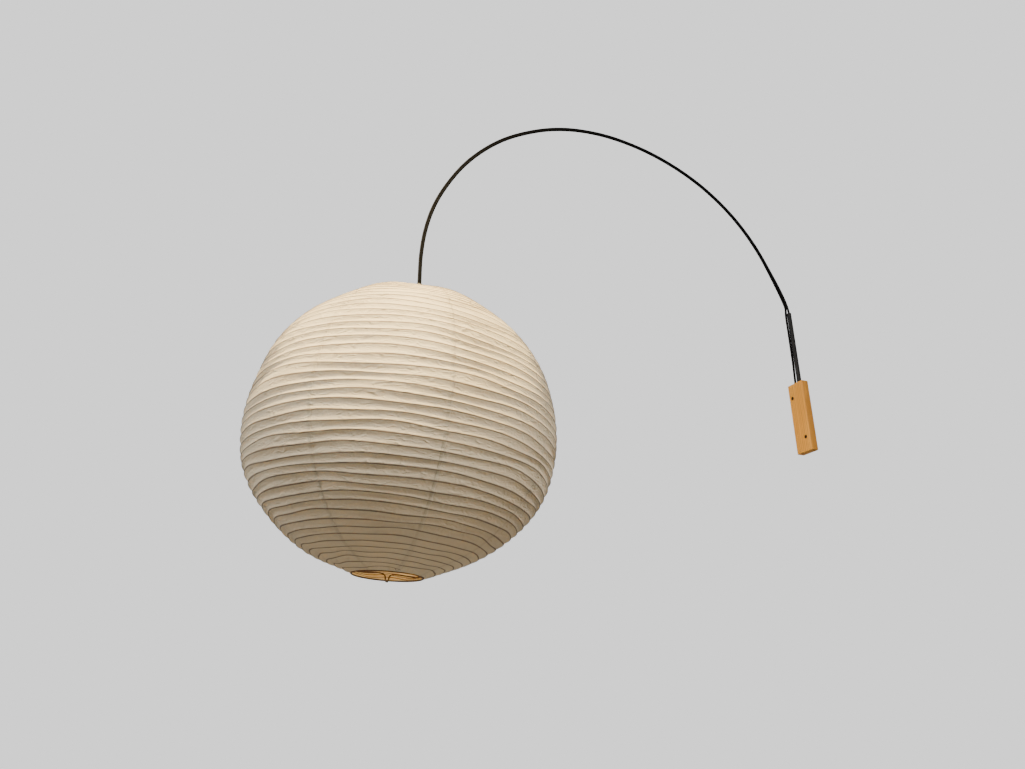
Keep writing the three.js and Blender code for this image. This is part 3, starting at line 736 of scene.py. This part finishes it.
# %% Spreader wire
SPREADER_RADIUS = 1.3 * MM
UNDER_RIM = 3.2
LOOP_GAP = 0.25
# The lampholder in millimetres: heights from the hanging point, and its outer radius.
NECK_Z, CAP_Z, SHOULDER_Z, RIM_Z, HOLDER_R = -26, -38, -62, -92, 20


def spreader_points():
    loop_z = SHOULDER_Z - 8.5
    shoulder_z = top_rim_z / MM - UNDER_RIM
    foot_z = bottom_rim_z / MM + UNDER_RIM
    loop_r = HOLDER_R + 1.7

    def side(sign):
        return [
            (sign * loop_r * math.cos(LOOP_GAP), loop_r * math.sin(LOOP_GAP), loop_z),
            (sign * 27, 1, loop_z),
            (sign * 33, 0, loop_z + 2), (sign * 68, 0, shoulder_z - 6), (sign * 75, 0, shoulder_z),
            (sign * 79, 0, shoulder_z - 8), (sign * 80, 0, shoulder_z - 60),
            (sign * 84, 0, (shoulder_z + foot_z) / 2), (sign * 71, 0, foot_z + 40),
            (sign * 64, 0, foot_z + 5), (sign * 59, 0, foot_z), (sign * 40, 0, foot_z),
            (sign * 9, 0, foot_z), (sign * 4, 0, foot_z - 4), (sign * 2.6, 0, foot_z - 12),
        ]
    bends = [math.pi - LOOP_GAP - i / 6 * (math.pi - 2 * LOOP_GAP) for i in range(1, 6)]
    loop = [(loop_r * math.cos(bend), loop_r * math.sin(bend), loop_z) for bend in bends]
    return np.array(loop + side(1) + [(0, 0, foot_z - 15)] + side(-1)[::-1]) * MM


quarter_turn = Matrix.Rotation(math.radians(90), 4, "Z")
spreader_route = smooth_route(spreader_points(), 420, looped=True)
spreader = sweep("spreader_bow", spreader_route, SPREADER_RADIUS, sides=12, looped=True,
                 place=hung @ quarter_turn)
settle(spreader, "lantern", "wire", "spreader_frame")

# %% [markdown]
# ## The lampholder and its bulb
#
# These are turned pieces, so each is a profile in millimetres: radius first, then height from the
# hanging point. Every corner gets a small fillet, because a moulding has no knife edges, and the
# clamping ring gets the finger grip that such a ring has.

# %% Lampholder
THREAD_STEPS = 8


def turned_mm(name, profile, slot, *nodes, body="lantern", place=hung, **options):
    metres = [(radius * MM, height * MM) for radius, height in profile]
    return settle(turned(name, metres, place, **options), body, slot, *nodes)


turned_mm("grip_bush", [
    (2.8, CAP_Z - 6), (5.4, CAP_Z - 6), (5.4, CAP_Z + 1), (7.6, CAP_Z + 1),
    (7.6, NECK_Z - 6), (4.6, NECK_Z), (2.8, NECK_Z),
], "black_plastic", "cord_grip", grip=(20, 0.4 * MM), sides=80)
turned_mm("holder_dome", [
    (5.8, CAP_Z - 2.5), (5.8, CAP_Z), (9, CAP_Z), (17, CAP_Z - 5), (HOLDER_R, CAP_Z - 12),
    (HOLDER_R, SHOULDER_Z), (HOLDER_R - 2.2, SHOULDER_Z), (HOLDER_R - 2.2, CAP_Z - 12.5),
    (15.6, CAP_Z - 7), (8.6, CAP_Z - 2.5),
], "black_plastic", "lampholder_cap", soft=2 * MM)


def threads(radius, top, bottom, pitch, depth):
    """Profile points for a rounded thread, from top to bottom."""
    count = int((top - bottom) / pitch * THREAD_STEPS)
    return [(radius - depth * (0.5 - 0.5 * math.cos(TAU * i / THREAD_STEPS)),
             top + (bottom - top) * i / count) for i in range(count + 1)]


turned_mm("holder_skirt", [
    (HOLDER_R, SHOULDER_Z - 0.3), (HOLDER_R, SHOULDER_Z - 6), (HOLDER_R - 1, SHOULDER_Z - 6.5),
    *threads(HOLDER_R - 1, SHOULDER_Z - 15, RIM_Z + 2, 3.2, 0.9),
    (HOLDER_R - 1, RIM_Z), (HOLDER_R - 3, RIM_Z), (HOLDER_R - 3, SHOULDER_Z - 0.3),
], "black_plastic", "lampholder_shell", soft=0.3 * MM)
insert_r = HOLDER_R - 3.4
turned_mm("holder_core", [
    (0, SHOULDER_Z - 1), (0, SHOULDER_Z - 7), (insert_r, SHOULDER_Z - 7),
    (insert_r, SHOULDER_Z - 1),
], "ceramic", "lampholder_insert")
ring_top = SHOULDER_Z - 6.5 - 0.3 - SPREADER_RADIUS / MM * 2 - 0.6
turned_mm("clamping_ring", [
    (HOLDER_R - 0.7, ring_top), (27, ring_top), (27, ring_top - 4), (26, ring_top - 5),
    (HOLDER_R - 0.7, ring_top - 5),
], "black_plastic", "shade_ring", grip=(36, 0.7 * MM), sides=144)

# %% Bulb
CAP_RADIUS, GLOBE_RADIUS, GLOBE_WALL = 13.2, 30, 1.5
NECK_RADIUS, ARC_STEPS = 22, 22
tip = SHOULDER_Z - 7.3 - 4.2
cap_top = tip - 3.2
cap_bottom = cap_top - 20
globe_top = cap_bottom - 26.3
globe_centre = globe_top - 22
turned_mm("bulb_tip", [(0, tip - 1.6), (3.6, tip - 1.6), (3.6, tip - 0.6), (2.2, tip), (0, tip)],
          "bulb_cap", "bulb_contact")
turned_mm("bulb_glass_bead", [
    (0, tip - 1.9), (4.2, tip - 1.9), (9.5, cap_top - 1), (9.5, cap_top - 4), (0, cap_top - 4),
], "black_plastic", "bulb_insulator")
turned_mm("bulb_thread", [
    (9.8, cap_top), (11.8, cap_top), *threads(CAP_RADIUS, cap_top - 1.5, cap_bottom + 3, 3.6, 1.1),
    (CAP_RADIUS, cap_bottom), (9.8, cap_bottom),
], "bulb_cap", "bulb_screw_cap", soft=0.3 * MM)
turned_mm("bulb_body", [
    (0, cap_top - 6), (9.4, cap_top - 6), (9.4, cap_bottom - 0.3), (13.4, cap_bottom - 0.3),
    (15.5, cap_bottom - 8), (18.2, cap_bottom - 17), (NECK_RADIUS, cap_bottom - 26),
    (0, cap_bottom - 26),
], "bulb_plastic", "bulb_housing", soft=2 * MM)


def arc(radius, start, end):
    """Profile points on a circle about the globe's centre."""
    angles = [start + (end - start) * i / ARC_STEPS for i in range(ARC_STEPS + 1)]
    return [(max(0.0, radius * math.cos(a)), globe_centre + radius * math.sin(a)) for a in angles]


neck = math.asin(NECK_RADIUS / GLOBE_RADIUS)
outside = arc(GLOBE_RADIUS, neck, -math.pi / 2)
inside = arc(GLOBE_RADIUS - GLOBE_WALL, -math.pi / 2, neck)
turned_mm("bulb_dome", outside + inside, "bulb_diffuser", "bulb_globe", soft=0.2 * MM)
print("bulb ends", round(-globe_centre + GLOBE_RADIUS), "mm under the hanging point")

# %% [markdown]
# ## The bent rod
#
# A straight rod of glass fibre, thicker at its foot, takes this curve by itself when its foot is
# held upright and its tip hangs down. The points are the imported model's own: distance from the
# hanging line towards the wall, and height from the lantern's middle.

# %% Rod
ARCH = [
    (1009, 543), (998, 575), (975, 625), (924, 719), (854, 802), (759, 872), (638, 922),
    (521, 942), (433, 940), (345, 922), (260, 885), (180, 832), (106, 756), (55, 677),
    (21, 601), (3, 530), (-4, 465),
]
ROD_ROOT, ROD_TIP = 2.9 * MM, 1.75 * MM
FLEX_RADIUS = 2.8 * MM
ROD_TIP_ABOVE = 18 * MM
ROD_IN_SLEEVE = 0.045
middle_z = hang_point.z - MIDDLE_DROP * lantern_axis.z
rod_x = arm_axis.x
tip_y = hang_point.y - ROD_TIP - FLEX_RADIUS
sleeve_top = sleeve_high.z

rod_points = [
    (rod_x, arm_axis.y, sleeve_top - ROD_IN_SLEEVE),
    (rod_x, arm_axis.y, sleeve_top - ROD_IN_SLEEVE / 2),
    (rod_x, arm_axis.y, sleeve_top + 0.001),
    *[(rod_x, hang_point.y + inward * MM, middle_z + height * MM) for inward, height in ARCH],
    (rod_x, tip_y, hang_point.z + ROD_TIP_ABOVE + 0.025),
    (rod_x, tip_y, hang_point.z + ROD_TIP_ABOVE),
]
rod_route = smooth_route(rod_points, 420)
rod_radius = np.linspace(ROD_ROOT, ROD_TIP, len(rod_route))
settle(sweep("bent_rod", rod_route, rod_radius, sides=20), "arm", "rod", "arm_rod")
rod_length = np.linalg.norm(np.diff(rod_route, axis=0), axis=1).sum()
print("rod is", round(rod_length, 3), "m long")

# %% [markdown]
# ## The flex
#
# The flex lies along the inner side of the bend, so it is held all along and is not a loose
# cord. It leaves the block beside the sleeve. There it has to give when the arm swings: its foot
# stays in the block and the rest turns, so that stretch is its own piece. Along the rod the soft
# flex is pressed in a little, and beside the hard sleeve it just clears the steel.

# %% Flex
PRESSED_IN, SLEEVE_CLEARANCE = 0.25 * MM, 0.05 * MM
# Shares of the rod's length at which the flex is laid beside it.
FLEX_STATIONS = (0.037, *np.arange(0.05, 0.97, 0.045))
flex_x = (Vector(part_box("flex_tail")[0]).x + Vector(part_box("flex_tail")[1]).x) / 2
block_top = block_high.z
sleeve_outer = (sleeve_high.x - sleeve_low.x) / 2
beside = (sleeve_outer + FLEX_RADIUS + SLEEVE_CLEARANCE) * math.sqrt(0.5)


def smoothstep(value, low, high):
    t = np.clip((value - low) / (high - low), 0, 1)
    return t * t * (3 - 2 * t)


def along_rod():
    """Points beside the rod, on its inner side once past the sleeve."""
    points = []
    ahead = np.gradient(rod_route, axis=0)
    ahead /= np.linalg.norm(ahead, axis=1)[:, None]
    for t in FLEX_STATIONS:
        i = int(round(t * (len(rod_route) - 1)))
        turn = math.pi / 4 * (1 + smoothstep(t, 0.02, 0.15))
        outer = np.cross(ahead[i], (1, 0, 0))
        outer /= np.linalg.norm(outer)
        side = np.array((-math.cos(turn), 0, 0)) - outer * math.sin(turn)
        points.append(rod_route[i] + side * (rod_radius[i] + FLEX_RADIUS - PRESSED_IN))
    return points


split_z = sleeve_top - 0.07
foot_points = [
    (flex_x, arm_axis.y, block_top - 0.088), (flex_x, arm_axis.y, block_top - 0.03),
    (flex_x, arm_axis.y, block_top + 0.008),
    (rod_x - beside - 1.2 * MM, arm_axis.y - beside + 1 * MM, block_top + 0.06),
    (rod_x - beside, arm_axis.y - beside, split_z),
]
upper_points = [
    (rod_x - beside, arm_axis.y - beside, sleeve_top - 0.005), *along_rod(),
    (rod_x, hang_point.y, hang_point.z + ROD_TIP_ABOVE + 0.003), tuple(hang_point),
]
flex_route = smooth_route(foot_points + upper_points, 520)
split_at = int(np.argmax(flex_route[:, 2] > split_z))
foot = sweep("flex_foot", flex_route[:split_at + 1], FLEX_RADIUS)
foot.data.materials.append(FINISHES["flex"])
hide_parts("flex_tail")
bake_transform(foot)
settle(sweep("flex_upper", flex_route[split_at:], FLEX_RADIUS), "arm", "flex", "flex_arm")

flex_end = SHOULDER_Z + 3
drop_route = np.array([(0, 0, z * MM) for z in np.linspace(0, flex_end, 12)])
settle(sweep("flex_hanging", drop_route, FLEX_RADIUS, place=hung), "drop", "flex", "flex_drop")
half_circle = np.linspace(-math.pi / 2, math.pi / 2, 13)
ball = [(max(0, FLEX_RADIUS * math.cos(a)), FLEX_RADIUS * math.sin(a)) for a in half_circle]
elbow = turned("flex_elbow", ball, hung, sides=24, soft=0)
settle(elbow, "flex_knuckle", "flex", "flex_bend")
flex_length = np.linalg.norm(np.diff(flex_route, axis=0), axis=1).sum() + abs(flex_end) * MM
print("flex is", round(flex_length, 3), "m from the terminals to the lampholder")

# %% [markdown]
# ## The sleeve and the tip clip
#
# The sleeve is a cut length of tube with its ends eased. The clip at the tip is a rubbery
# moulding that opens in a bell, so that the flex never bends over an edge.

# %% Sleeve and clip
TUBE_BORE = 4.1
foot_z, top_z, tube_r = sleeve_low.z / MM, sleeve_top / MM, sleeve_outer / MM
turned_mm("swivel_tube", [
    (TUBE_BORE, foot_z), (tube_r, foot_z), (tube_r, top_z), (TUBE_BORE, top_z),
], "sleeve_steel", "arm_sleeve", body="arm", place=upright,
    centre=(arm_axis.x, arm_axis.y), sides=48)

clip_low, clip_high = (Vector(corner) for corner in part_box("tip_clip"))
clip_centre = (clip_low + clip_high) / 2
low, high = clip_low.z / MM, clip_high.z / MM
turned_mm("tip_grommet", [
    (0, low + 6), (4.2, low + 6), (6.6, low), (8, low), (8, low + 7), (7.2, high - 1.5),
    (5.7, high), (0, high),
], "black_plastic", "tip_clip", body="arm", place=upright,
    centre=(clip_centre.x, clip_centre.y), soft=0.8 * MM)

# %% [markdown]
# ## The wall block
#
# A planed offcut with its edges eased by a few strokes of sandpaper. The holes are real holes,
# cut by boolean, so the tube and the flex go down into the wood and the screws sit in their
# countersinks. The pocket in the back is where the wiring is joined.

# %% Block
SCREWS = {"wall_screw_upper": "screw_high", "wall_screw_lower": "screw_low"}


def eased_box(name, low, high, ease):
    shell = bmesh.new()
    bmesh.ops.create_cube(shell, size=1)
    size = Vector(high) - Vector(low)
    bmesh.ops.scale(shell, vec=size, verts=shell.verts)
    bmesh.ops.translate(shell, vec=(Vector(low) + Vector(high)) / 2, verts=shell.verts)
    if ease:
        bmesh.ops.bevel(shell, geom=shell.edges[:], offset=ease, segments=4, profile=0.5,
                        affect="EDGES")
    mesh = bpy.data.meshes.new(name)
    shell.to_mesh(mesh)
    shell.free()
    piece = bpy.data.objects.new(name, mesh)
    bpy.context.scene.collection.objects.link(piece)
    return piece


def carve(piece, cutters, ease=0.0):
    """Cuts the cutters out of a piece, eases what edges are left and keeps one plain mesh."""
    for cutter in cutters:
        cut = piece.modifiers.new("cut", "BOOLEAN")
        cut.object = cutter
        cut.solver = "EXACT"
    if ease:
        round_off = piece.modifiers.new("ease", "BEVEL")
        round_off.width = ease
        round_off.segments = 2
        round_off.limit_method = "ANGLE"
        round_off.angle_limit = math.radians(50)
    bpy.context.view_layer.update()
    shaped = piece.evaluated_get(bpy.context.evaluated_depsgraph_get())
    mesh = bpy.data.meshes.new_from_object(shaped)
    piece.modifiers.clear()
    piece.data = mesh
    mesh.shade_smooth()
    mesh.set_sharp_from_angle(angle=math.radians(30))
    for cutter in cutters:
        bpy.data.objects.remove(cutter)
    return piece


def across_y(name, profile, x, z):
    """A turned cutter or screw whose axis is Y: profile is (radius, y)."""
    lay_down = Matrix.Translation((x, 0, z)) @ Matrix.Rotation(math.radians(-90), 4, "X")
    return turned(name, profile, lay_down, sides=40, soft=0)


def screw_place(node):
    low, high = (Vector(corner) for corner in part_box(node))
    return (low.x + high.x) / 2, (low.z + high.z) / 2


def drill(name, radius, floor, x):
    """A round cutter in line with the arm that comes out of the block's top."""
    above = block_top + 0.01
    return turned(name, [(0, floor), (radius, floor), (radius, above), (0, above)],
                  centre=(x, arm_axis.y), soft=0)


front = block_low.y
cutters = [
    drill("bore", sleeve_outer + 0.35 * MM, sleeve_low.z - 0.3 * MM, arm_axis.x),
    drill("flex_hole", 3.1 * MM, 0.021, flex_x),
    eased_box("pocket", (-0.022, -0.0135, -0.038), (-0.003, 0.01, 0.022), 0),
]
for node in SCREWS:
    x, z = screw_place(node)
    cutters.append(across_y("countersink", [
        (0, front - 0.001), (4.9 * MM, front - 0.001), (4.9 * MM, front + 0.7 * MM),
        (2.6 * MM, front + 3.3 * MM), (2.6 * MM, 0.001), (0, 0.001),
    ], x, z))
board = eased_box("wood_block", block_low, block_high, 1.6 * MM)
settle(carve(board, cutters), "wall_bracket", "oak", "wall_block")


# %% Screws
SLOT_LENGTH, SLOT_WIDTH, SLOT_DEPTH = 4.6, 0.95, 1.7


def countersunk(node, name):
    x, z = screw_place(node)
    head = across_y(name, [
        (0, front + 0.25 * MM), (3.9 * MM, front + 0.25 * MM), (4.5 * MM, front + 0.55 * MM),
        (4.5 * MM, front + 0.85 * MM), (2.3 * MM, front + 3.3 * MM), (2.3 * MM, -0.5 * MM),
        (0, -0.5 * MM),
    ], x, z)
    slots = []
    for wide, tall in ((SLOT_LENGTH, SLOT_WIDTH), (SLOT_WIDTH, SLOT_LENGTH)):
        slots.append(eased_box("slot", (x - wide / 2 * MM, front - 0.001, z - tall / 2 * MM),
                               (x + wide / 2 * MM, front + SLOT_DEPTH * MM, z + tall / 2 * MM), 0))
    return settle(carve(head, slots, ease=0.12 * MM), "wall_bracket", "bronzed_screw", node)


for node, name in SCREWS.items():
    countersunk(node, name)

# %% [markdown]
# ## The small fittings
#
# The terminals, their clamp and the lampholder's contacts have the right shape already, so they
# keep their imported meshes. They get a finish and a fine bevel, which catches the light on their
# edges.

# %% Small fittings
FITTINGS = {
    "cord_clamp": "white_plastic", "terminal_block": "white_plastic", "clamp_screw": "zinc_screw",
    "centre_contact": "brass", "side_contact": "brass",
    **{f"terminal_screw_{number}": "brass" for number in range(1, 5)},
}
for node, slot in FITTINGS.items():
    fitting = frame["nodes"][node]
    fitting.data.materials.clear()
    fitting.data.materials.append(FINISHES[slot])
    bevel = fitting.modifiers.new("edge", "BEVEL")
    bevel.width = 0.15 * MM
    bevel.segments = 2
    bevel.limit_method = "ANGLE"
    bevel.angle_limit = math.radians(40)
print(len(FITTINGS), "fittings keep their packed shape")

# %% [markdown]
# ## Floor and light
#
# Four soft lamps light the lantern. A small warm one above it makes the top of the paper bright
# and leaves the underside in its own shade. One from the room keeps the wood and the black rod
# readable, a narrow one reaches the near flank of the shade, and one from along the wall
# reaches the far flank. The surround looks pale to the camera but gives only a little light.

# %% Floor, lamps and surround
FLOOR_BELOW = 1.5
FLOOR_CORNERS = [(-4, -5), (4, -5), (4, 3), (-4, 3)]
ROOM_MIDDLE = (0, -0.5, 0)
SURROUND_LIGHT, SURROUND_SEEN = 0.19, 1.3
floor_z = cad_box[0][2] - FLOOR_BELOW
floor = add_mesh("floor", [(x, y, floor_z) for x, y in FLOOR_CORNERS], [(0, 1, 2, 3)])
floor_material, _, floor_shader = new_material("Pale floor")
floor_shader.inputs["Base Color"].default_value = (0.50, 0.50, 0.50, 1)
floor_shader.inputs["Roughness"].default_value = 0.7
floor.data.materials.append(floor_material)


def soft_lamp(name, place, aim, size, power, colour, spread=180):
    data = bpy.data.lights.new(name, "AREA")
    data.shape = "DISK"
    data.size = size
    data.energy = power
    data.color = colour
    data.spread = math.radians(spread)
    lamp = bpy.data.objects.new(name, data)
    lamp.location = place
    lamp.rotation_euler = (Vector(aim) - Vector(place)).to_track_quat("-Z", "Y").to_euler()
    bpy.context.scene.collection.objects.link(lamp)


lantern_middle = hung @ Vector((0, 0, -MIDDLE_DROP))
soft_lamp("daylight", lantern_middle + Vector((0.75, -0.3, 1.35)), lantern_middle,
          size=0.7, power=20, colour=(1.0, 0.74, 0.34), spread=80)
soft_lamp("room_fill", (0.6, -3.6, 1.3), ROOM_MIDDLE,
          size=1.6, power=76, colour=(0.98, 0.97, 0.98))
soft_lamp("side_fill", (2.9, -0.55, 1.5), lantern_middle,
          size=1.4, power=10, colour=(1.0, 0.94, 0.87), spread=50)
soft_lamp("wall_side_fill", (-0.9, 2.7, 1.1), ROOM_MIDDLE,
          size=1.4, power=34, colour=(1.0, 0.92, 0.80))

world = bpy.data.worlds.new("pale surround")
bpy.context.scene.world = world
world.use_nodes = True
sky = world.node_tree.nodes["Background"]
sky.inputs["Color"].default_value = (1, 1, 1, 1)
seen = world.node_tree.nodes.new("ShaderNodeLightPath").outputs["Is Camera Ray"]
strength = ramp(world.node_tree, seen, 0.0, 1.0, SURROUND_LIGHT, SURROUND_SEEN)
wire(world.node_tree, strength, sky.inputs["Strength"])
